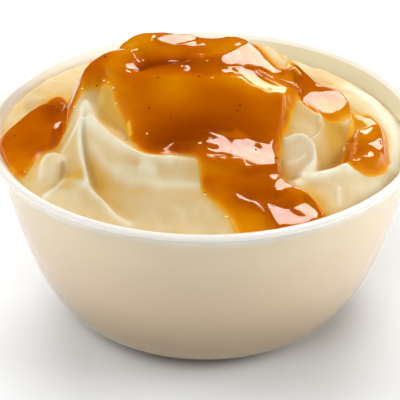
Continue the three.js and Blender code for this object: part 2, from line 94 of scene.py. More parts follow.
# A crest point is x, y and height. The falls, to the left and to the right of the crest's travel, are
# the fold's own, or stand in each point where they change. Past its reach a side falls away faster.
FOLDS = {
    "back_crest": {
        "points": [
            (-23, 1, 82), (-18.5, 4, 84.9), (-8, 5, 85), (0, 4.4, 84), (9, 3.6, 84.9), (16, 1.6, 84.2),
            (21.5, -0.5, 82.2),
        ],
        "falls": (1.05, 0.28),
        "reach": (99, 10), "round": 4, "end": 1.2,
    },
    "brow": {
        "points": [
            (-24, -8, 80), (-14, -13, 81.3), (-1, -15.5, 82), (8, -15.6, 82.4), (14, -15.8, 80.7),
            (21, -16.2, 78.6), (26, -17.2, 76.4),
        ],
        "falls": (0.1, 0.92),
        "reach": (8, 99), "round": 3, "end": 1.2,
    },
    "upper_lip": {
        "points": [
            (-34, -14, 74), (-31.5, -22, 73), (-25.5, -31, 71.8), (-17, -38.2, 70.4),
            (-4, -39.3, 69.8), (10, -39, 68.3), (21, -34, 67.8),
        ],
        "falls": (0.35, 1.9),
        "reach": (6, 99), "round": 1.5, "end": 1.2,
    },
    "lower_lip": {
        "points": [
            (-34, -14, 74, 0.35, 2.2), (-31.5, -25.5, 70.3, 0.35, 1.6), (-25, -36, 67, 0.35, 1.2),
            (-16, -41.8, 65, 0.35, 0.65), (-3, -42.3, 64.3, 0.35, 0.42), (10, -42.5, 63.4, 0.35, 0.42),
            (22, -40.2, 62.7, 0.45, 0.42), (33, -35, 63.2, 0.9, 0.42), (42, -32, 63.4, 0.9, 0.42),
            (53, -25, 60, 0.5, 0.4),
        ],
        "reach": (6, 99), "round": 1.5, "end": 1.2,
    },
    "left_spine": {
        "points": [
            (-34, -14, 74, 1, 2.4), (-34.8, -22, 71, 0.8, 1.7), (-34.4, -31, 67.8, 0.8, 1.1),
            (-32.6, -40, 63.6, 0.8, 0.6), (-27.5, -48, 60.6, 0.6, 0.25), (-20.5, -54, 58.2, 0.6, 0.25),
        ],
        "reach": (99, 99), "round": 1.2, "end": 1.2,
    },
    "left_shoulder": {
        "points": [
            (-22, -2, 82, 0.4, 1.6), (-28, -1, 81.6, 0.15, 2.4), (-33.2, -2.6, 79, 0.1, 2.8),
            (-34.2, -8.5, 76.2, 0.1, 2.8), (-34, -14, 74, 0.4, 2.6),
        ],
        "reach": (99, 99), "round": 2.5, "end": 1.5,
    },
    "right_shoulder": {
        "points": [
            (18, -4, 82.5, 1.05, 0.35), (24, -2.8, 76.4, 0.85, 0.35), (31, -3, 72, 0.5, 0.35),
            (38, -3.8, 69.8, 0.42, 0.4), (44, -6, 66, 0.42, 0.55), (49, -10, 62.8, 0.42, 0.6),
        ],
        "reach": (99, 8), "round": 3, "end": 1.2,
    },
    "right_buckle": {
        "points": [
            (20, -14, 77.5, 0.5, 0.55), (25.2, -12.8, 74.8, 0.5, 0.55), (29, -12.4, 72.4, 0.5, 0.55),
            (32, -13.4, 70.2, 0.5, 0.6),
        ],
        "reach": (99, 5), "round": 1.2, "end": 1.5,
    },
}
# How quickly a side steepens past its reach, and the most that a fold falls.
STEEPENING = 0.12
DEEPEST_FALL = 60

# Lumps: x, y, height of the top, the two plan radii, the turn in degrees and the height of the lump.
LUMPS = {
    "rolled_petal": (25.6, -31.2, 66, 5.6, 6, 0, 8),
    "left_lump": (-42.6, -30.5, 65.2, 4.4, 6.8, 8, 5),
    "low_left_lump": (-39.5, -43.4, 61.6, 9.5, 6.2, -22, 5),
    "back_right_lump": (45, 10, 62.8, 13, 9, 70, 4),
    "back_lump": (36, 26, 62.8, 14, 8, 140, 4),
    "back_left_lump": (-44, 14, 62.6, 10, 14, 20, 3),
}

# Hollows: x, y, the two plan radii and the depth.
HOLLOWS = {
    "left_pocket": (-36.6, -34, 2.6, 2.8, 2.6),
    "right_valley": (36, -21, 5, 7, 1.6),
    "petal_dish": (25.8, -31, 3, 3.6, 0.8),
    "top_trough": (-6, -6, 13, 4, 2.2),
    "furrow": (20, -11.5, 5, 2, 1),
}

# Places pressed flat: x, y, height and the slopes along x and y there, the width of the rim and the
# outline. Later ones lie on top.
MASH_FLATS = {
    "buckle_face": ((28, -19, 71.4, -0.38, 0.6), 1, [
        (23, -15.5), (27, -13.6), (31, -13), (33.2, -15.5), (33.2, -19), (31, -23), (27, -26.5),
        (22, -27),
    ]),
    "stream_bed": ((36, -7, 71.3, -0.35, 0.33), 2.5, [
        (26.5, -12), (30, -5.5), (37.7, -3), (41, -5), (43, -11), (41.5, -15.4), (36, -16.2),
        (30, -15),
    ]),
    "petal_face": ((26, -31, 66.6, 0, 0.75), 1, [
        (20.5, -31), (22, -27.5), (26.5, -26), (30.4, -28.3), (31, -31), (30, -34), (26.4, -37),
        (21, -37),
    ]),
}

# Ridges and grooves that the spoon drew: height, change of tone, width and the line in plan. The tone is
# painted light on the crests and edges and painted shade in the grooves and on the valley sides;
# right_edge is only painted light, and film_behind_the_top darkens a line where a film of gravy lies.
MASH_MARKS = {
    "upper_crest": (0.5, -0.5, 1.4, [
        (-34, -15), (-32.4, -20.1), (-30.2, -24.7), (-27.2, -29.5), (-23.4, -34.1), (-17.8, -38),
        (-10, -39.4),
    ]),
    "groove_under_it": (-1, 0.3, 1.3, [
        (-33.4, -19), (-31.3, -25.6), (-28, -31.3), (-24, -36), (-18.6, -39.4),
    ]),
    "middle_crest": (0.4, -0.35, 1.1, [
        (-33, -20.4), (-30.2, -27.4), (-26.4, -33.5), (-20.6, -39.3), (-14, -41.6),
    ]),
    "lower_crest": (0.5, -0.4, 1.6, [
        (-33.6, -21.5), (-31.6, -28), (-28, -34.5), (-22, -40.9), (-14, -43.6), (-2, -44),
    ]),
    "valley_side": (-0.6, 0.12, 3, [
        (-33.6, -25), (-32, -31), (-29.4, -36.5), (-25.4, -41.4), (-19, -45),
    ]),
    "spine": (0.9, -0.5, 0.8, [(-34.6, -20.5), (-35, -25), (-34.6, -30), (-33.4, -36), (-32.4, -40.5)]),
    "cusp_flank": (0.5, -0.3, 1, [(-34.4, -16), (-35.6, -20), (-37.8, -23), (-40, -24.5)]),
    "low_ridge": (0.6, -0.4, 1, [
        (-32.5, -41.6), (-30, -45), (-27.2, -48.4), (-24.3, -52), (-20.7, -54.9),
    ]),
    "low_ridge_side": (-0.4, 0.16, 2.2, [
        (-30.4, -41.4), (-27.6, -45.2), (-24.6, -48.6), (-21.6, -51.6),
    ]),
    "low_left_edge": (0.8, -0.35, 1, [
        (-44.3, -40.4), (-41.5, -38.6), (-39.2, -37.4), (-36.5, -39), (-33.4, -41.4),
    ]),
    "left_lump_edge": (0.5, -0.3, 1, [
        (-46, -33), (-45.8, -29), (-44, -25.8), (-41, -26.4), (-39.4, -30),
    ]),
    "buckle_edge": (0.6, -0.25, 1, [
        (25, -14.8), (28.2, -13.5), (31, -13.4), (32.8, -15.6), (32.6, -18.6),
    ]),
    "petal_rim": (1, -0.35, 1, [
        (22.4, -27.6), (26.5, -26), (30.4, -28.4), (31, -31), (30.1, -33.5), (26.4, -36.8),
    ]),
    "petal_arc": (0.4, -0.2, 0.6, [(22.6, -33.4), (25, -33), (27.6, -31.6)]),
    "right_lip": (0.7, -0.55, 2, [(25, -40), (31, -36.6), (37, -34), (42, -32.2), (48, -28.6)]),
    "right_lip_bump": (0.8, -0.1, 2.4, [(39.4, -32.4), (42, -31.6)]),
    "right_lip_pleat": (0.4, -0.3, 0.8, [(36.8, -40.8), (36.6, -45.2)]),
    "film_behind_the_top": (0, 0.5, 0.6, [
        (15.2, 7.2), (17.3, 6.8), (19, 4.6), (21, 1.8), (22.4, -1.8),
    ]),
    "right_edge": (0, -0.6, 5, [(54, -22), (56, -8), (54, 6), (46, 20)]),
}

# Painted shade and painted light: places made deeper as painted shade and paler as painted light; x, y,
# the two plan radii and the change of tone.
MASH_PAINTED_LIGHT_AND_SHADE = {
    "left_valley": (-28, -38, 5, 9, 0.22),
    "valley_fan": (-18, -47, 12, 5, 0.06),
    "right_valley": (37, -20, 5, 8, 0.45),
    "left_pocket": (-36, -37.6, 3.4, 3, 0.85),
    "beside_the_spine": (-37.5, -28, 2, 5, 0.2),
    "under_the_shoulder": (-27, -20, 4, 8, 0.45),
    "back_left": (-40, 14, 16, 14, 0.15),
    "back_right": (40, 20, 10, 12, 0.25),
    "front": (5, -50, 14, 5, -0.05),
    "low_left": (-40, -43, 8, 5, -0.12),
    "petal": (25, -31, 3.6, 4.4, -0.3),
    "petal_foot": (25, -38.5, 3.4, 1.6, 0.3),
    "beside_the_tongue": (29, -46, 4, 6, 0.4),
    "right_shoulder": (48, -34, 9, 8, -0.4),
}
# Tone of a level place, and the painted shade of the hollows: the depth below its surroundings that adds
# 1 to the tone, and the reach of those surroundings in cells.
MASH_TONE = 0.5
HOLLOW_SHADE_DEPTH = 8
HOLLOW_SHADE_REACH = 9
# Tone that the gravy adds to the mash under it, and the width over which that fades beside its edge:
# partly a stain where it soaks in and partly painted shade.
SOAK_AND_SHADE_TONE = 0.4
SOAK_AND_SHADE_WIDTH = 2.5

# By the wall the mash's top is taken a little under the wall line, and reaches a little into the glaze.
MASH_UNDER_LINE = 0.3
MASH_INTO_WALL = 0.25
# Radius and height of the rings that carry the mash down inside the bowl.
MASH_SIDE = [(57.2, 51), (53.4, 34), (42.4, 10), (31, 4.7)]

# -------- gravy tables

# The gravy's edge in plan, anticlockwise from the left end of the heap's back.
GRAVY_OUTLINE = [
    (-28, 6), (-34, 3.4), (-39, 4), (-43, 12), (-48.5, 8.5), (-54, 2.5), (-60, -4.5), (-62, -9),
    (-58, -19), (-52, -29), (-49, -25.5), (-46.8, -20), (-43.8, -17.2), (-41.4, -14.8), (-39.4, -12.6),
    (-37, -11), (-34.4, -10.4), (-31, -9.4), (-28.6, -9), (-26, -16.2), (-22.4, -24.5), (-20.4, -31),
    (-18.8, -36.4), (-14, -38.4), (-10.5, -38.2), (-7, -35.4), (-3.6, -36.8), (-2.2, -41), (-1.2, -45),
    (2.6, -50), (6, -54), (9, -60), (16, -68), (38, -60), (34, -50), (28.5, -43.5), (23.4, -40.8),
    (21.6, -36), (21.2, -30), (23.4, -23), (25.4, -17), (27, -14.2), (30, -14.4), (33, -15.8),
    (36.6, -15.6), (39.4, -14), (42, -11.6), (41, -14.8), (39.4, -19), (38.6, -25), (39, -31),
    (41.4, -33.4), (45.4, -32.8), (48.8, -30.4), (51.6, -26), (53.2, -18), (52.4, -8), (49, -3),
    (45.4, -4.4), (43.8, -6), (42, -3.4), (38, -1.2), (33, -1.2), (29.5, -0.2), (26.5, 0.6),
    (24.6, -1.4), (22.6, -5.6), (20.4, -4), (17.4, -0.6), (13, 4.5), (5, 9), (-8, 13), (-20, 11),
]

# Pools and thin places: x, y, the two plan radii and the change of depth.
GRAVY_POOLS = {
    "right_blob": (47, -17, 7, 8, 1.6),
    "stream_end": (47, -6, 5, 5, 0.6),
    "left_pool": (-50, -10, 9, 9, 1.4),
    "left_shoulder": (-32, -6, 6, 5, 0.4),
    "under_the_brow": (-10, -33, 9, 5, 1),
    "shelf": (8, -37, 11, 5, 0.5),
    "tongue": (16, -49, 10, 7, 0.7),
    "stream": (34, -5, 6, 5, 0.6),
    "top_left": (-18, 3, 7, 5, 0.8),
    "pool_back": (-46, 9, 7, 4, -0.8),
}

# Darker and more golden places: x, y, the two plan radii and the change of tone.
GRAVY_TONES = {
    "under_the_brow": (-4, -29, 12, 5, 0.38),
    "left_corner": (-13, -35, 6, 5, 0.15),
    "right_face": (12, -27, 9, 6, 0.15),
    "pale_patch": (-9, -17.5, 6, 4, -0.22),
    # Partly deeper gravy and partly painted shade in the crease: the darker tone of trough and
    # trough_end.
    "trough": (-11, -7, 9, 2.8, 0.35),
    "trough_end": (-2, -11.5, 6, 4, 0.15),
    "left_hip": (-24, -5, 4, 9, -0.2),
    "top_left": (-19, 1, 6, 4, -0.25),
    "top_middle": (-10, -2, 4, 2, -0.15),
    "top_right": (7, -1, 5, 4, -0.2),
    "brow_right": (12, -16.5, 8, 3, -0.38),
    "brow_corner": (22, -16, 4, 3, -0.25),
    "shoulder_edge": (-33, -9.5, 5, 3, -0.3),
    "face_left": (-21, -27, 3, 8, -0.12),
    "tongue_middle": (12, -47.5, 5, 3.5, 0.22),
    "tongue_low": (22, -52, 5, 3, 0.2),
    "tongue_left": (3, -51, 3, 5, -0.2),
    "tongue_right": (26, -45, 5, 2.5, -0.22),
    "tongue_foot": (8, -57, 5, 2.5, -0.2),
    "left_pool": (-51, -14, 6, 9, 0.12),
    "left_pool_back": (-45, 0, 3, 6, 0.2),
    "stream_root": (25, -6, 4, 3, 0.1),
    "stream_back": (38, -2.4, 5, 1.6, 0.15),
    "stream_under": (36, -11.5, 4, 2.5, -0.2),
    "blob": (47, -12, 8, 10, -0.3),
    "blob_low": (46, -28, 6, 6, -0.2),
}
# Tone of gravy of the usual depth, how much each further millimetre adds, and the depth over which the
# gravy turns from a golden film to that tone.
GRAVY_TONE = 0.53
TONE_PER_DEPTH = 0.04
USUAL_DEPTH = 1.5
SHEER_DEPTH = 0.3

# Places where the gravy lies flat, given like the flat places of the mash.
GRAVY_FLATS = {
    "trough": ((-10, -7, 83.3, 0.08, 0.02), 7, [
        (-18, -4.5), (-12, -4), (-4, -4), (-3, -8), (-5, -12), (-12, -12), (-18, -10),
    ]),
    "rise": ((0, -7, 83.9, 0.12, 0.06), 4, [
        (-4, -4), (1, -3), (5, -3.5), (5, -8), (7, -12), (1, -13), (-4, -12),
    ]),
    "left_shelf": ((-10, -34.5, 71.1, 0.1, 0.05), 3, [
        (-18.5, -31.5), (-10, -31), (0, -31.5), (4, -33), (3, -37), (-6, -37.8), (-18, -37),
    ]),
    "tongue_bed": ((14, -48, 62.5, -0.06, 0.56), 3, [
        (-2.5, -41.5), (6, -41.5), (22.5, -42.5), (30, -47), (36, -60), (6, -61), (0, -50),
    ]),
    "left_pool": ((-50, -10, 61.6, 0.2, 0.15), 1.6, [
        (-60, -14), (-56, -3), (-47.5, 5), (-42.6, -1), (-40.6, -8), (-40.6, -14), (-46, -19),
        (-51, -27), (-57, -22),
    ]),
    "blob_bed": ((47, -15, 64.2, 0.15, -0.08), 3, [
        (42, -12), (44, -5.5), (50, -4.5), (52, -12), (52, -21), (49.4, -28.6), (44.5, -30.4),
        (40.4, -28), (40.4, -18),
    ]),
    "top_right": ((12, -5, 84.6, -0.27, 0.27), 1, [
        (4, -10.4), (4.8, -7.2), (9.5, -2.1), (13.9, 1.6), (16.4, -0.4), (20.1, -4.6), (23.1, -9.4),
        (22.4, -11.3), (19.6, -11.3), (16.2, -9.8), (13.3, -9.1), (9.3, -10.1), (5.9, -11.3),
    ]),
    "wedge": ((17, -14, 80.9, -0.29, 0.27), 1, [
        (7.9, -11.4), (13, -10.3), (16.1, -11.6), (19.8, -12.6), (24.1, -13.1), (26.2, -17.2),
        (22.5, -17.7), (18.5, -18.2), (14.9, -17.4), (12, -17.2), (9.9, -13.5),
    ]),
    "furrow": ((19, -12, 80.5, -0.45, -0.1), 0.8, [
        (14.8, -9.3), (16.8, -9.1), (19.6, -10.2), (23.2, -7.8), (26.5, -6.1), (26.2, -15.8),
        (22.9, -14.5), (19.7, -14.5), (16.6, -13.6), (14.7, -11.8),
    ]),
    "top_left": ((-8, 4, 86.3, -0.3, 0.3), 1, [
        (-14.4, 1.2), (-11.5, 3.5), (-4.3, 6.8), (-2.3, 4.6), (-7.2, 1.1), (-12.3, -0.5),
    ]),
    "shelf": ((10.5, -35.5, 70.1, -0.16, 0.21), 1, [
        (-0.6, -29.5), (3.8, -29.2), (7.7, -29.6), (8.6, -28.8), (11.9, -29.4), (15.8, -30.6),
        (17.7, -30.4), (18.9, -27.4), (19.6, -31.1), (20.8, -37), (19.6, -39.3), (11.1, -41.9),
        (10.3, -39.2), (9, -38.2), (5.7, -37.7), (0.8, -36.7), (3.5, -35.1), (0.2, -33.9), (3, -31.7),
    ]),
    "tear": ((21, -45, 64.6, -0.2, 0.22), 0.7, [
        (18.4, -46.2), (18.7, -44.1), (20.1, -42.2), (21.2, -41.9), (22, -43.3), (24.4, -43.8),
        (23, -45.8), (19.4, -47.5),
    ]),
    "tongue_streak": ((11, -49.2, 62.4, -0.16, 0.2), 0.6, [
        (7.8, -46.4), (9.4, -46.5), (11.6, -48.1), (13.7, -49.2), (15.8, -52.3), (12.6, -50.2),
        (8.3, -48.7),
    ]),
    "tongue_end": ((22, -52, 60.3, -0.16, 0.21), 0.8, [
        (16.4, -49.8), (19.9, -50.2), (23.7, -49.5), (26.6, -46.6), (28.7, -47.3), (31, -51.2),
        (25.3, -56.9), (20.2, -58.7), (17.9, -55.3),
    ]),
    "stream": ((36, -7, 72.4, -0.35, 0.33), 1, [
        (28.1, -10.1), (29.3, -8.4), (31.4, -6.4), (37.7, -4.1), (39.9, -4.6), (41.4, -6.7), (42, -11),
        (39, -13.4), (35.8, -13), (32.8, -14.2), (28.6, -11.8),
    ]),
    "blob_top": ((48, -7, 64.3, -0.2, 0.24), 0.8, [
        (46, -5.7), (47.6, -4.9), (49.3, -5.8), (50.5, -8.8), (47.1, -7.6),
    ]),
    "blob_middle": ((46, -11, 64.3, -0.2, 0.24), 0.8, [
        (44.1, -12.5), (45.9, -11.6), (48.4, -9.7), (48.5, -11.8), (46.6, -14.4), (44.8, -14),
    ]),
    "blob_low": ((49, -18, 65, -0.2, 0.24), 0.8, [
        (46.2, -21.2), (48, -20.3), (49.6, -18.2), (50.6, -23.7), (48.9, -23.8), (47.2, -22.5),
    ]),
    "left_crescent": ((-43, -14, 64, -0.42, 0.26), 0.8, [
        (-44, -10.4), (-42.2, -7.2), (-41, -7.6), (-41.6, -11.8), (-41.2, -14), (-43.4, -17),
        (-45.2, -17.6), (-44.2, -14.2),
    ]),
}

# Creases and thin lines in the gravy, given like the marks in the mash. The crease's darker tone is
# painted shade, and left_glint's paler tone is a painted glint.
GRAVY_MARKS = {
    "crease": (-0.6, 0.25, 1.6, [(-18.5, -8.5), (-14.5, -7.2), (-10, -6.2), (-6, -4.4)]),
    "streak": (0.3, -0.7, 0.5, [(24, -3), (25.4, -4.4), (27.2, -6)]),
    "left_glint": (0.3, -0.6, 0.4, [(-21.4, -23.6), (-20.8, -27)]),
}

# Width of the mash's creases as the gravy bridges them.
GRAVY_CREASE = 6
# How far past the film the gravy may stand above the shoulder by the wall, and how softly it is held.
ABOVE_SHOULDER = 1.6
SHOULDER_ROUND = 1.5
# Least depth inside the edge, how softly it is kept, the depth at the edge and the fall outside it.
LEAST_DEPTH = 0.35
LEAST_ROUND = 0.4
EDGE_DEPTH = 0.1
EDGE_FALL = 2.2
# Where the gravy meets the wall: its height over the mash's line, and the gap to the glaze.
GRAVY_OVER_LINE = 1.2
GRAVY_GAP = 0.1
# The sheet is cut this far below the mash outside its edge and this many times past the wall, and its
# underside lies this far down in the mash.
CUT_DEPTH = 1
CUT_PAST_WALL = 1.012
SUNK = 1.1
# Room round the outline for the grid that the sheet is cut from.
GRID_MARGIN = 1
# How quickly the gloss grows from the dull edge inwards.
GLOSS_POWER = 0.7

# -------- ripples, specks and beads

# Unevenness of each surface: height, wavelength and seed of its ripples.
RIPPLES = {
    "mash": [(0.1, 9, 3), (0.03, 3.4, 4)],
    "mash_tone": [(0.03, 6, 31)],
    "gravy_edge": [(0.12, 9, 11), (0.05, 3.5, 12)],
    "gravy_top": [(0.05, 12, 21)],
}

# Pepper specks on the gravy and beads along its thin edges: x and y of each.
SPECKS = [
    (-28.7, -2.7), (-13.2, -14.6), (-15.7, -22), (-9.5, -25.3), (9.7, -23.7), (8.9, -24.9),
    (-44.6, 2.6), (-55.2, -9.1), (42.3, -17.6), (-0.1, -46.3), (-31, -8.5), (-1.7, -15.4),
    (-21.9, -30.3), (14, -34), (45.1, -13.8), (19.8, -35.9), (16.6, -13.1),
]
BEADS = [
    (-34.9, -9.5), (-37.4, -11.2), (-28.7, -7.7), (-27.4, -9.7), (-25.9, -12.5), (-24.9, -17.1),
    (-16.1, -28.5), (5.6, -53.8), (-0.1, -46.7), (-6.5, -10.2), (0.6, -7.6), (-1.4, -34.3),
]
# Their height as a share of their width, and how much their width varies.
SPECK_HEIGHT = 0.5
BEAD_HEIGHT = 0.6
FLECK_VARIETY = (0.7, 1.3)

# -------- stage tables

# A light is its place and aim in metres, its width and height, its share of the power and whether glossy
# surfaces mirror it.
LIGHTS = {
    "softbox": ((0.42, 0.62, 0.86), (0, 0, 0.06), (0.7, 0.5), 1, True),
    "back_panel": ((0, 1, 0.5), (0, 0, 0.05), (0.9, 0.6), 1.25, False),
    "right_panel": ((1.05, -0.1, 0.4), (0, 0, 0.05), (0.7, 0.6), 0.92, False),
    "left_panel": ((-1.05, 0, 0.35), (0, 0, 0.05), (0.7, 0.6), 0.23, False),
    "left_high": ((-0.8, 0, 0.85), (0, 0, 0.05), (0.7, 0.6), 0.35, False),
    "front_panel": ((-0.3, -0.75, 0.85), (0, 0, 0.05), (0.8, 0.6), 0.56, False),
    "top_panel": ((0, 0, 1.15), (0, 0, 0.05), (0.8, 0.8), 0.26, False),
}

# The camera's place in metres, its angle below the level, its lens and sensor in millimetres and the
# picture's gamma.
CAMERA = {"place": (-0.00142, -0.44866, 0.29826), "down": 30.54, "lens": 154.6, "sensor": 36}
GAMMA = 0.87
# Half the width of the floor, in metres.
FLOOR_REACH = 3

# -------- lines, blends and noise


def smooth_line(points, steps, closed=False):
    """A smooth line through points with any number of coordinates."""
    p = np.array(points, float)
    if closed:
        p = np.vstack([p[-1], p, p[:2]])
    else:
        p = np.vstack([2 * p[0] - p[1], p, 2 * p[-1] - p[-2]])
    t = (np.arange(steps) / steps)[:, None]
    line = []
    for a, b, c, d in zip(p, p[1:], p[2:], p[3:]):
        square = (2 * a - 5 * b + 4 * c - d) * t**2
        cube = (3 * b - a - 3 * c + d) * t**3
        line.append(0.5 * (2 * b + (c - a) * t + square + cube))
    if not closed:
        line.append(p[-2:-1])
    return np.vstack(line)


def line_distance(line, x, y):
    """Distance in plan to the nearest point of a line."""
    nearest = np.full(x.shape, np.inf)
    for (ax, ay), (bx, by) in zip(line, line[1:]):
        ex, ey = bx - ax, by - ay
        t = np.clip(((x - ax) * ex + (y - ay) * ey) / (ex * ex + ey * ey), 0, 1)
        nearest = np.minimum(nearest, np.hypot(x - ax - t * ex, y - ay - t * ey))
    return nearest


def inside_by(outline, x, y):
    """Distance to a closed outline in plan, positive inside it."""
    loop = np.vstack([outline, outline[:1]])
    inside = np.zeros(x.shape, bool)
    for (ax, ay), (bx, by) in zip(loop, loop[1:]):
        if ay != by:
            inside ^= ((ay > y) != (by > y)) & (x < (bx - ax) * (y - ay) / (by - ay) + ax)
    nearest = line_distance(loop, x, y)
    return np.where(inside, nearest, -nearest)


def blend_up(a, b, crease):
    """The larger of two heights, with a rounded crease where they are nearly equal."""
    near = np.maximum(crease - np.abs(a - b), 0) / crease
    return np.maximum(a, b) + near * near * crease / 4


def blend_down(a, b, crease):
    """The smaller of two heights, rounded in the same way."""
    return -blend_up(-a, -b, crease)


def eased(share):
    """A share held between 0 and 1 that starts and ends softly."""
    share = np.clip(share, 0, 1)
    return share * share * (3 - 2 * share)


def ripple(x, y, wavelength, seed, waves=16):
    """Smooth unevenness of about unit size."""
    chance = np.random.default_rng(seed)
    total = np.zeros_like(x)
    for _ in range(waves):
        turn, phase = chance.uniform(0, 2 * np.pi, 2)
        pace = 2 * np.pi / (wavelength * chance.uniform(0.75, 1.35))
        total += np.cos(pace * (x * np.cos(turn) + y * np.sin(turn)) + phase)
    return total / np.sqrt(waves / 2)


def unevenness(surface, x, y):
    """Sum of a surface's ripples."""
    return sum(height * ripple(x, y, wavelength, seed) for height, wavelength, seed in RIPPLES[surface])


def patches(table, x, y):
    """Sum of soft round patches, each x, y, two plan radii and its amount."""
    total = np.zeros_like(x)
    for cx, cy, radius_x, radius_y, amount in table.values():
        total += amount * np.exp(-(((x - cx) / radius_x) ** 2) - ((y - cy) / radius_y) ** 2)
    return total


def strokes(table, x, y):
    """Change of height and of tone that a table of marks makes."""
    rise, change = np.zeros_like(x), np.zeros_like(x)
    for height, tone, width, line in table.values():
        away = line_distance(smooth_line(line, MARK_STEPS), x, y) / width
        share = np.exp(-away * away)
        rise += height * share
        change += tone * share
    return rise, change


def flattened(table, height, x, y):
    """Heights with the table's flat places laid in."""
    for (cx, cy, level, slope_x, slope_y), rim, outline in table.values():
        flat = level + slope_x * (x - cx) + slope_y * (y - cy)
        share = eased(inside_by(smooth_line(outline, MARK_STEPS, True), x, y) / rim + 0.5)
        height = height + share * (flat - height)
    return height


# -------- mash surface


def crest_line(fold):
    """A fold's smooth crest: x, y, height and the falls to the left and to the right."""
    return smooth_line([(*point, *fold.get("falls", ())) for point in fold["points"]], CREST_STEPS)


def fold_height(fold, x, y):
    """Height of a fold: its crest height, less the fall to the side of it and past its ends."""
    crest = crest_line(fold)
    nearest = np.full(x.shape, np.inf)
    side = np.zeros_like(x)
    past = np.zeros_like(x)
    at = np.zeros((3,) + x.shape)
    last = len(crest) - 2
    for i, (a, b) in enumerate(zip(crest, crest[1:])):
        length = np.hypot(b[0] - a[0], b[1] - a[1])
        ex, ey = (b[0] - a[0]) / length, (b[1] - a[1]) / length
        along = (x - a[0]) * ex + (y - a[1]) * ey
        across = ex * (y - a[1]) - ey * (x - a[0])
        held = np.clip(along, 0, length)
        distance = np.hypot(along - held, across)
        beyond = np.zeros_like(x)
        if i == 0:
            beyond = np.maximum(-along, 0)
        if i == last:
            beyond = np.maximum(beyond, along - length)
        near = distance < nearest
        nearest = np.where(near, distance, nearest)
        signed = np.where(beyond > 0, across, np.copysign(distance, across))
        side = np.where(near, signed, side)
        past = np.where(near, beyond, past)
        for j in range(3):
            at[j] = np.where(near, a[2 + j] + (b[2 + j] - a[2 + j]) * held / length, at[j])
    slope = np.where(side > 0, at[1], at[2])
    reach = np.where(side > 0, fold["reach"][0], fold["reach"][1])
    away = np.abs(side)
    rounding = fold["round"]
    fall = slope * (np.hypot(away, rounding) - rounding) + STEEPENING * np.maximum(away - reach, 0) ** 2
    end_fall = fold["end"] * (np.hypot(past, rounding) - rounding)
    return at[0] - np.minimum(fall + end_fall, DEEPEST_FALL)


def lump_height(lump, x, y):
    """Height of a lump: the upper half of an egg, with a cone round its foot."""
    cx, cy, top, radius_x, radius_y, turn, rise = lump
    c, s = np.cos(np.radians(turn)), np.sin(np.radians(turn))
    u = ((x - cx) * c + (y - cy) * s) / radius_x
    v = ((y - cy) * c - (x - cx) * s) / radius_y
    q = u * u + v * v
    return top - rise + rise * np.sqrt(np.maximum(1 - q, 0)) - 2 * rise * np.maximum(q - 1, 0)


def wall_line(x, y):
    """Height at which the mash meets the wall, lower at the back right."""
    turn = np.arctan2(y, x) - np.radians(WALL_LINE["angle"])
    away = (np.mod(turn + np.pi, 2 * np.pi) - np.pi) / np.radians(WALL_LINE["spread"])
    return WALL_LINE["height"] - WALL_LINE["dip"] * np.exp(-away * away)


INNER_LINE = smooth_line(INNER_FACE, PROFILE_STEPS)[::-1]


def inner_radius(height):
    """Radius of the bowl's inner face at a height."""
    return np.interp(height, INNER_LINE[:, 1], INNER_LINE[:, 0])


def wall_shoulder(x, y):
    """Height that the food keeps under as it nears the wall."""
    edge = inner_radius(wall_line(x, y))
    return wall_line(x, y) + WALL_LINE["slope"] * (edge - np.hypot(x, y))


def raised_forms(x, y):
    """Heights of every fold and lump."""
    forms = [fold_height(fold, x, y) for fold in FOLDS.values()]
    forms += [lump_height(lump, x, y) for lump in LUMPS.values()]
    return forms


def mash_height(x, y, crease, forms):
    """Top of the mash, with creases as wide as asked for."""
    height = BED["top"] - BED["fall"] * (np.hypot(x, y) / BED["radius"]) ** 4
    for form in forms:
        height = blend_up(height, form, crease)
    height = flattened(MASH_FLATS, height - patches(HOLLOWS, x, y), x, y)
    return blend_down(height + strokes(MASH_MARKS, x, y)[0], wall_shoulder(x, y), WALL_LINE["round"])


def spread(values, reach):
    """A square table of values, each averaged with those round it."""
    weights = np.exp(-np.linspace(-2, 2, 4 * reach + 1) ** 2)
    weights /= weights.sum()
    for _ in range(2):
        padded = np.pad(values, ((0, 0), (2 * reach, 2 * reach)), mode="edge")
        values = np.apply_along_axis(np.convolve, 1, padded, weights, "valid").T
    return values


def mash_tone(x, y, height):
    """Painted shading: 0 on the crests, 1 in the hollows; deeper beside the gravy, a soak stain and
    painted shade.
    """
    soak_and_shade = SOAK_AND_SHADE_TONE * np.exp(np.minimum(inside_by(GRAVY_EDGE, x, y), 0) / SOAK_AND_SHADE_WIDTH)
    hollow_shade = (spread(height, HOLLOW_SHADE_REACH) - height) / HOLLOW_SHADE_DEPTH
    tone = MASH_TONE + hollow_shade + soak_and_shade + patches(MASH_PAINTED_LIGHT_AND_SHADE, x, y) + strokes(MASH_MARKS, x, y)[1]
    return np.clip(tone + unevenness("mash_tone", x, y), 0, 1)


# -------- gravy surface

GRAVY_EDGE = smooth_line(GRAVY_OUTLINE, EDGE_STEPS, True)


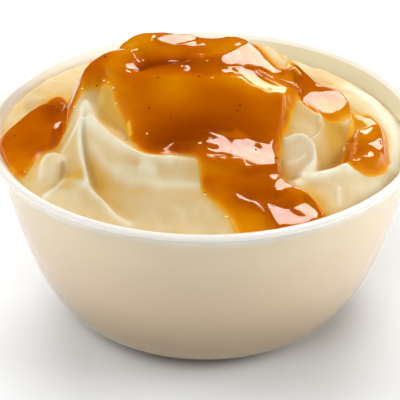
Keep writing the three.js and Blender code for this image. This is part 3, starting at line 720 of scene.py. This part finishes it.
def gravy_layer(x, y, film, edge_width):
    """Height of the mash, depth of the gravy over it and distance inside the gravy's edge."""
    within = inside_by(GRAVY_EDGE, x, y) + unevenness("gravy_edge", x, y)
    forms = raised_forms(x, y)
    mash = mash_height(x, y, CREASE, forms)
    top = mash_height(x, y, GRAVY_CREASE, forms) + film + patches(GRAVY_POOLS, x, y)
    top = flattened(GRAVY_FLATS, top + unevenness("gravy_top", x, y), x, y)
    top = top + strokes(GRAVY_MARKS, x, y)[0]
    full = blend_down(top, wall_shoulder(x, y) + film + ABOVE_SHOULDER, SHOULDER_ROUND) - mash
    full = blend_up(full, np.full_like(full, LEAST_DEPTH), LEAST_ROUND)
    depth = EDGE_DEPTH + (full - EDGE_DEPTH) * eased(within / edge_width)
    return mash + unevenness("mash", x, y), np.where(within > 0, depth, EDGE_FALL * within), within


def gravy_tone(x, y, depth):
    """From 0 where the gravy is golden to 1 where it is darkest, fading to its edges."""
    tone = GRAVY_TONE + patches(GRAVY_TONES, x, y) + TONE_PER_DEPTH * (depth - USUAL_DEPTH)
    tone = tone + strokes(GRAVY_MARKS, x, y)[1]
    return np.clip(tone, 0, 1) * (1 - np.exp(-np.maximum(depth, 0) / SHEER_DEPTH))


# -------- mesh and material help


def points_of(bm):
    """Coordinates of a bmesh's vertices, one row each."""
    return np.array([vertex.co[:] for vertex in bm.verts])


def move_to(bm, x, y, z):
    """Puts the vertices at places given in millimetres."""
    for vertex, place in zip(bm.verts, np.column_stack([x, y, z]) * MM):
        vertex.co = place


def vertices_in(made):
    """The vertices among what a bmesh operator made."""
    return [part for part in made["geom"] if isinstance(part, bmesh.types.BMVert)]


def set_values(bm, name, values):
    """Gives every vertex a value that the material reads."""
    layer = bm.verts.layers.float.new(name)
    for vertex, value in zip(bm.verts, values):
        vertex[layer] = value


def finish_piece(bm, name, material, nodes=()):
    """Turns the bmesh into a smooth-shaded object that rides on the dish."""
    mesh = bpy.data.meshes.new(name)
    bm.to_mesh(mesh)
    bm.free()
    mesh.polygons.foreach_set("use_smooth", [True] * len(mesh.polygons))
    mesh.materials.append(material)
    piece = bpy.data.objects.new(name, mesh)
    bpy.context.scene.collection.objects.link(piece)
    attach(piece, "root")
    if nodes:
        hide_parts(*nodes)
    return piece


class Finish:
    """A material built round one Principled shader."""

    def __init__(self, name, **sockets):
        self.material = bpy.data.materials.new(name)
        self.material.use_nodes = True
        self.tree = self.material.node_tree
        self.shader = self.tree.nodes["Principled BSDF"]
        for key, value in sockets.items():
            self.shader.inputs[key.replace("_", " ")].default_value = value

    def node(self, kind, inputs=(), **settings):
        """A new node with its settings, and its inputs linked or set."""
        node = self.tree.nodes.new(kind)
        for key, value in settings.items():
            setattr(node, key, value)
        for key, value in dict(inputs).items():
            if isinstance(value, bpy.types.NodeSocket):
                self.tree.links.new(value, node.inputs[key])
            else:
                node.inputs[key].default_value = value
        return node

    def place(self):
        return self.node("ShaderNodeTexCoord").outputs["Object"]

    def attribute(self, name):
        return self.node("ShaderNodeAttribute", attribute_name=name).outputs["Fac"]

    def math(self, operation, *values):
        return self.node("ShaderNodeMath", dict(enumerate(values)), operation=operation).outputs[0]

    def noise(self, scale, detail=3.0):
        """Noise fixed to the piece, from 0 to 1."""
        values = {"Vector": self.place(), "Scale": scale, "Detail": detail, "Roughness": 0.5}
        return self.node("ShaderNodeTexNoise", values).outputs["Fac"]

    def unevened(self, value, noise, amount):
        """A value with noise added, up or down by half the amount."""
        return self.math("ADD", value, self.math("MULTIPLY_ADD", noise, amount, -amount / 2))

    def ramp(self, factor, stops):
        """Colours that follow a factor, from (place, colour) stops."""
        node = self.node("ShaderNodeValToRGB", {"Fac": factor})
        ramp = node.color_ramp
        while len(ramp.elements) < len(stops):
            ramp.elements.new(0.5)
        for element, (place, colour) in zip(ramp.elements, stops):
            element.position = place
            element.color = (*colour, 1)
        return node.outputs["Color"]

    def plug(self, output, socket):
        self.tree.links.new(output, self.shader.inputs[socket])

    def bump(self, height, strength, distance):
        values = {"Height": height, "Strength": strength, "Distance": distance}
        self.plug(self.node("ShaderNodeBump", values).outputs["Normal"], "Normal")


# -------- finishes


def glaze_painted_shading_finish(body, foot, lip, inside):
    """Glaze warm and darker at the foot as painted shade, pale under and on the lip as painted light,
    cream inside.
    """
    finish = Finish("glazed_ceramic", Roughness=0.16, IOR=1.5, Coat_Weight=0.3, Coat_Roughness=0.05)
    height = finish.node("ShaderNodeSeparateXYZ", {"Vector": finish.place()}).outputs["Z"]
    level = finish.unevened(height, finish.noise(35), amount=0.006)
    share = finish.math("DIVIDE", level, PAINTED_SHADING_HEIGHT * MM)
    band = [a + PAINTED_LIGHT_BAND_SHARE * (b - a) for a, b in zip(body, PAINTED_LIGHT_BAND_COLOUR)]
    stops = [(0.0, foot), (0.2, foot), (0.5, body), (0.88, band), (0.95, lip)]
    colours = finish.node("ShaderNodeMix", data_type="RGBA")
    factor, _, _, _, _, _, first, second = colours.inputs[:8]
    finish.tree.links.new(finish.attribute("within"), factor)
    finish.tree.links.new(finish.ramp(share, stops), first)
    second.default_value = (*inside, 1)
    finish.plug(colours.outputs[2], "Base Color")
    finish.bump(finish.noise(160, 2), strength=0.05, distance=0.0004)
    return finish.material


def mash_painted_shading_finish(crest, cream, hollow_shade, moistness):
    """Mash with painted shading: pale on the crests, a deeper yellow in the hollows and beside the gravy.
    """
    finish = Finish(
        "mash",
        Roughness=0.5 - 0.2 * moistness,
        IOR=1.4,
        Subsurface_Weight=0.2,
        Subsurface_Radius=(1.0, 0.5, 0.2),
        Subsurface_Scale=0.0009,
    )
    share = finish.unevened(finish.attribute("tone"), finish.noise(110, 4), amount=0.14)
    finish.plug(finish.ramp(share, [(0.0, crest), (0.5, cream), (1.0, hollow_shade)]), "Base Color")
    finish.bump(finish.noise(700, 3), strength=0.12, distance=0.0004)
    return finish.material


def gravy_finish(film, gravy, deep):
    """Gravy that goes from golden where it is a film to brown in the pools, and dull at its edge."""
    finish = Finish(
        "gravy",
        IOR=1.45,
        Coat_Roughness=0.04,
        Subsurface_Weight=0.15,
        Subsurface_Radius=(1.0, 0.4, 0.1),
        Subsurface_Scale=0.002,
    )
    share = finish.unevened(finish.attribute("tone"), finish.noise(90, 2), amount=0.3)
    golden = [np.sqrt(a * b) for a, b in zip(film, gravy)]
    brown = [np.sqrt(a * b) for a, b in zip(gravy, deep)]
    stops = [(0.0, film), (0.25, golden), (0.5, gravy), (0.75, brown), (1.0, deep)]
    finish.plug(finish.ramp(share, stops), "Base Color")
    gloss = finish.attribute("gloss")
    for socket, dull, glossy in (("Roughness", 0.5, 0.08), ("Coat Weight", 0, 0.7)):
        finish.plug(finish.math("MULTIPLY_ADD", gloss, glossy - dull, dull), socket)
    return finish.material


def fleck_finish(name, first, second, grain, **sockets):
    """Two colours in small grains."""
    finish = Finish(name, **sockets)
    finish.plug(finish.ramp(finish.noise(grain, 2), [(0.3, first), (0.7, second)]), "Base Color")
    return finish.material


# -------- settings


def colour_setting(**words):
    """A colour, given its name, description and default."""
    return bpy.props.FloatVectorProperty(subtype="COLOR", size=3, min=0, max=1, **words)


class BowlSettings(bpy.types.PropertyGroup):
    body: colour_setting(
        name="Glaze", description="Colour of the glaze on the wall", default=(0.73, 0.57, 0.4)
    )
    # Painted shade: the foot colour darkens the low wall.
    foot: colour_setting(
        name="Glaze at the foot",
        description="Colour where the glaze is deepest",
        default=(0.47, 0.35, 0.22),
    )
    # Painted light: the lip, and the band under it, are paler than the wall.
    lip: colour_setting(
        name="Glaze on the lip", description="Colour of the lip", default=(0.93, 0.9, 0.84)
    )
    # Towards the left this gives way to the wall's colours and white lip, as painted light.
    inside: colour_setting(
        name="Glaze inside",
        description="Colour of the glaze inside the bowl",
        default=(0.77, 0.71, 0.52),
    )
    sides: bpy.props.IntProperty(
        name="Sides", description="Steps round the bowl", default=240, min=24, max=720
    )


class MashSettings(bpy.types.PropertyGroup):
    # Painted light and shade: the crest colour is painted light, the colour in the hollows painted shade.
    crest: colour_setting(
        name="Mash on the crests", description="Colour of the crests", default=(0.86, 0.8, 0.62)
    )
    cream: colour_setting(
        name="Mash", description="Colour of the mashed potato", default=(0.75, 0.59, 0.34)
    )
    hollow_shade: colour_setting(
        name="Mash in the hollows",
        description="Colour in the hollows and beside the gravy",
        default=(0.7, 0.43, 0.09),
    )
    moistness: bpy.props.FloatProperty(
        name="Moistness",
        description="From 0, dry, to 1, wet and shiny",
        subtype="FACTOR",
        default=0.4,
        min=0,
        max=1,
    )
    cells: bpy.props.IntProperty(
        name="Cells", description="Cells across the surface", default=300, min=40, max=310
    )


class GravySettings(bpy.types.PropertyGroup):
    golden: colour_setting(
        name="Gravy film", description="Colour where the gravy is a film", default=(0.94, 0.55, 0.07)
    )
    brown: colour_setting(
        name="Gravy",
        description="Colour where the gravy is a few millimetres deep",
        default=(0.63, 0.17, 0.0),
    )
    deep: colour_setting(
        name="Deep gravy", description="Colour in the deepest pools", default=(0.31, 0.055, 0.0)
    )
    film: bpy.props.FloatProperty(
        name="Film",
        description="Depth of the gravy away from the creases and pools, in millimetres",
        default=1.1,
        min=0.3,
        max=3,
    )
    edge: bpy.props.FloatProperty(
        name="Edge",
        description="Width over which the edge of the gravy rounds up, in millimetres",
        default=2.8,
        min=0.5,
        max=6,
    )
    cell: bpy.props.FloatProperty(
        name="Cell", description="Size of a cell in plan, in millimetres", default=0.36, min=0.3, max=2
    )


class FleckSettings(bpy.types.PropertyGroup):
    speck: bpy.props.FloatProperty(
        name="Speck", description="Radius of a pepper speck, in millimetres", default=0.3, min=0.1, max=1
    )
    bead_size: bpy.props.FloatProperty(
        name="Bead size", description="Radius of a bead, in millimetres", default=0.5, min=0.1, max=2
    )
    dark: colour_setting(name="Pepper", description="Colour of the pepper", default=(0.06, 0.02, 0.008))
    pale: colour_setting(name="Pale pepper", description="Its paler parts", default=(0.16, 0.05, 0.015))
    # Painted highlight: the beads' pale colour is a glint painted over the gravy's golden colour.
    bead_glint: colour_setting(name="Bead", description="Colour of the beads", default=(1, 0.85, 0.45))


class StageSettings(bpy.types.PropertyGroup):
    softbox: bpy.props.FloatProperty(
        name="Softbox", description="Power of the light behind", unit="POWER", default=7, min=0
    )
    fill: bpy.props.FloatProperty(
        name="Fill", description="Power of the fill panels", unit="POWER", default=10, min=0
    )
    surround: bpy.props.FloatProperty(
        name="Surround", description="Strength of the even light from all round", default=0.02, min=0
    )


# -------- operators


class DISH_OT_bowl(bpy.types.Operator):
    """Spin the glazed bowl"""

    bl_idname = "dish.bowl"
    bl_label = "Bowl"

    def execute(self, context):
        settings = context.scene.dish_bowl
        outer = FOOT + [tuple(p) for p in smooth_line(OUTER_FACE, PROFILE_STEPS)] + LIP
        inner = [tuple(p) for p in smooth_line(INNER_FACE, PROFILE_STEPS)] + [(0, FLOOR_HEIGHT)]
        bm = bmesh.new()
        within = bm.verts.layers.float.new("within")
        verts = [bm.verts.new((r * MM, 0, z * MM)) for r, z in outer + inner]
        for vertex in verts[len(outer) + 1 :]:
            vertex[within] = 1
        edges = [bm.edges.new(pair) for pair in zip(verts, verts[1:])]
        bmesh.ops.spin(
            bm,
            geom=verts + edges,
            cent=(0, 0, 0),
            axis=(0, 0, 1),
            angle=2 * np.pi,
            steps=settings.sides,
            use_merge=True,
        )
        bmesh.ops.remove_doubles(bm, verts=bm.verts, dist=1e-6)
        # Painted light: towards the left the inside keeps the wall's colours and white lip instead of its
        # cream.
        for vertex in bm.verts:
            vertex[within] *= np.clip(0.5 + vertex.co.x / (PAINTED_LIGHT_INSIDE_FADE * MM), 0, 1)
        bmesh.ops.recalc_face_normals(bm, faces=bm.faces)
        material = glaze_painted_shading_finish(settings.body, settings.foot, settings.lip, settings.inside)
        finish_piece(bm, "glazed_bowl", material, ["bowl"])
        return {"FINISHED"}


class DISH_OT_mash(bpy.types.Operator):
    """Model the folded heap of mashed potato"""

    bl_idname = "dish.mash"
    bl_label = "Mash"

    def execute(self, context):
        settings = context.scene.dish_mash
        bm = bmesh.new()
        cells = settings.cells
        bmesh.ops.create_grid(bm, x_segments=cells, y_segments=cells, size=1)
        u, v, _ = points_of(bm).T
        x, y = u * np.sqrt(1 - v * v / 2), v * np.sqrt(1 - u * u / 2)
        reach = inner_radius(wall_line(x, y) - MASH_UNDER_LINE) + MASH_INTO_WALL
        x, y = x * reach, y * reach
        height = mash_height(x, y, CREASE, raised_forms(x, y)) + unevenness("mash", x, y)
        square = (cells + 1, cells + 1)
        tone = mash_tone(x.reshape(square), y.reshape(square), height.reshape(square))
        set_values(bm, "tone", tone.ravel())
        move_to(bm, x, y, height)
        for radius, level in MASH_SIDE:
            rim = [edge for edge in bm.edges if edge.is_boundary]
            for vertex in vertices_in(bmesh.ops.extrude_edge_only(bm, edges=rim)):
                outwards = Vector((vertex.co.x, vertex.co.y, 0)).normalized()
                vertex.co = (outwards * radius + Vector((0, 0, level))) * MM
        bmesh.ops.holes_fill(bm, edges=[edge for edge in bm.edges if edge.is_boundary], sides=0)
        bmesh.ops.recalc_face_normals(bm, faces=bm.faces)
        material = mash_painted_shading_finish(settings.crest, settings.cream, settings.hollow_shade, settings.moistness)
        finish_piece(bm, "mash_heap", material, ["mashed_potato"])
        return {"FINISHED"}


class DISH_OT_gravy(bpy.types.Operator):
    """Pour the gravy over the heap"""

    bl_idname = "dish.gravy"
    bl_label = "Gravy"

    def execute(self, context):
        settings = context.scene.dish_gravy
        low, high = GRAVY_EDGE.min(0) - GRID_MARGIN, GRAVY_EDGE.max(0) + GRID_MARGIN
        wide, deep = np.ceil((high - low) / settings.cell).astype(int)
        bm = bmesh.new()
        bmesh.ops.create_grid(bm, x_segments=int(wide), y_segments=int(deep), size=0.5)
        u, v, _ = points_of(bm).T
        x, y = low[0] + (u + 0.5) * (high - low)[0], low[1] + (v + 0.5) * (high - low)[1]
        beyond = np.hypot(x, y) / (inner_radius(wall_line(x, y) + GRAVY_OVER_LINE) - GRAVY_GAP)
        beyond = np.maximum(beyond, 1)
        x, y = x / beyond, y / beyond
        mash, depth, within = gravy_layer(x, y, settings.film, settings.edge)
        set_values(bm, "tone", gravy_tone(x, y, depth))
        set_values(bm, "gloss", np.clip(within / settings.edge, 0, 1) ** GLOSS_POWER)
        set_values(bm, "drop", (np.maximum(depth, 0) + SUNK) * MM)
        move_to(bm, x, y, mash + depth)
        outside = (depth < -CUT_DEPTH) | (beyond > CUT_PAST_WALL)
        doomed = [vertex for vertex, out in zip(bm.verts, outside) if out]
        bmesh.ops.delete(bm, geom=doomed, context="VERTS")
        loose = [vertex for vertex in bm.verts if not vertex.link_faces]
        bmesh.ops.delete(bm, geom=loose, context="VERTS")
        made = bmesh.ops.extrude_face_region(bm, geom=bm.faces[:], use_keep_orig=True)
        drop = bm.verts.layers.float["drop"]
        for vertex in vertices_in(made):
            vertex.co.z -= vertex[drop]
        bmesh.ops.recalc_face_normals(bm, faces=bm.faces)
        material = gravy_finish(settings.golden, settings.brown, settings.deep)
        finish_piece(bm, "poured_gravy", material, ["gravy"])
        return {"FINISHED"}


class DISH_OT_flecks(bpy.types.Operator):
    """Strew pepper specks on the gravy and beads along its edges"""

    bl_idname = "dish.flecks"
    bl_label = "Pepper and beads"

    def execute(self, context):
        settings = context.scene.dish_flecks
        gravy = context.scene.dish_gravy
        pepper = fleck_finish("pepper", settings.dark, settings.pale, 900, Roughness=0.95, IOR=1.2)
        shining = {"Roughness": 0.3, "IOR": 1.3, "Subsurface_Weight": 0.5, "Subsurface_Scale": 0.001}
        # The beads mix the gravy's golden colour with a pale painted glint.
        bead_glint = fleck_finish("bead_glint", gravy.golden, settings.bead_glint, 600, **shining)
        chance = np.random.default_rng(7)
        for name, places, size, flatness, material in (
            ("pepper_specks", SPECKS, settings.speck, SPECK_HEIGHT, pepper),
            ("gravy_beads", BEADS, settings.bead_size, BEAD_HEIGHT, bead_glint),
        ):
            x, y = np.array(places, float).T
            mash, depth, _ = gravy_layer(x, y, gravy.film, gravy.edge)
            bm = bmesh.new()
            for place in np.column_stack([x, y, mash + np.maximum(depth, 0)]):
                made = bmesh.ops.create_icosphere(bm, subdivisions=2, radius=size * MM)["verts"]
                wide, deep = chance.uniform(*FLECK_VARIETY, 2)
                bmesh.ops.scale(bm, verts=made, vec=(wide, deep, flatness))
                bmesh.ops.translate(bm, verts=made, vec=place * MM)
            finish_piece(bm, name, material)
        return {"FINISHED"}


class DISH_OT_stage(bpy.types.Operator):
    """Set the floor, the soft light and the camera"""

    bl_idname = "dish.stage"
    bl_label = "Stage"

    def execute(self, context):
        settings = context.scene.dish_stage
        scene = context.scene
        bm = bmesh.new()
        bmesh.ops.create_grid(bm, x_segments=1, y_segments=1, size=FLOOR_REACH)
        mesh = bpy.data.meshes.new("floor")
        bm.to_mesh(mesh)
        bm.free()
        floor = bpy.data.objects.new("floor", mesh)
        mesh.materials.append(Finish("floor", Base_Color=(0.86, 0.88, 0.9, 1), Roughness=0.8).material)
        scene.collection.objects.link(floor)

        world = bpy.data.worlds.new("surround")
        world.use_nodes = True
        background = world.node_tree.nodes["Background"]
        background.inputs["Strength"].default_value = settings.surround
        background.inputs["Color"].default_value = (1, 1, 1, 1)
        scene.world = world
        world.cycles_visibility.glossy = False

        for name, (place, aim, size, share, mirrored) in LIGHTS.items():
            light = bpy.data.lights.new(name, "AREA")
            light.shape = "RECTANGLE"
            light.size, light.size_y = size
            light.energy = share * (settings.softbox if mirrored else settings.fill)
            panel = bpy.data.objects.new(name, light)
            panel.location = place
            way = Vector(aim) - panel.location
            panel.rotation_euler = way.to_track_quat("-Z", "Y").to_euler()
            panel.visible_glossy = mirrored
            panel.visible_diffuse = not mirrored
            scene.collection.objects.link(panel)

        lens = bpy.data.cameras.new("camera")
        lens.sensor_width = CAMERA["sensor"]
        lens.lens = CAMERA["lens"]
        camera = bpy.data.objects.new("camera", lens)
        camera.location = CAMERA["place"]
        camera.rotation_euler = (np.radians(90 - CAMERA["down"]), 0, 0)
        scene.collection.objects.link(camera)
        scene.camera = camera
        scene.view_settings.view_transform = "Standard"
        scene.view_settings.gamma = GAMMA
        return {"FINISHED"}


class DISH_PT_panel(bpy.types.Panel):
    """The dish's settings and pieces"""

    bl_idname = "DISH_PT_panel"
    bl_label = "Mashed potato side"
    bl_space_type = "VIEW_3D"
    bl_region_type = "UI"
    bl_category = "Dish"

    def draw(self, context):
        for name, (group, operator) in PARTS.items():
            box = self.layout.box()
            settings = getattr(context.scene, name)
            for key in group.__annotations__:
                box.prop(settings, key)
            box.operator(operator.bl_idname)


# The settings and the operator of each part of the dish, under the name that the scene keeps them by.
PARTS = {
    "dish_bowl": (BowlSettings, DISH_OT_bowl),
    "dish_mash": (MashSettings, DISH_OT_mash),
    "dish_gravy": (GravySettings, DISH_OT_gravy),
    "dish_flecks": (FleckSettings, DISH_OT_flecks),
    "dish_stage": (StageSettings, DISH_OT_stage),
}
CLASSES = [cls for part in PARTS.values() for cls in part] + [DISH_PT_panel]


def register():
    for cls in CLASSES:
        bpy.utils.register_class(cls)
    for name, (group, _) in PARTS.items():
        setattr(bpy.types.Scene, name, bpy.props.PointerProperty(type=group))


def unregister():
    for name in PARTS:
        delattr(bpy.types.Scene, name)
    for cls in reversed(CLASSES):
        bpy.utils.unregister_class(cls)


def main():
    register()
    bpy.ops.dish.bowl()
    bpy.ops.dish.mash()
    bpy.ops.dish.gravy()
    bpy.ops.dish.flecks()
    bpy.ops.dish.stage()


if __name__ == "__main__":
    main()
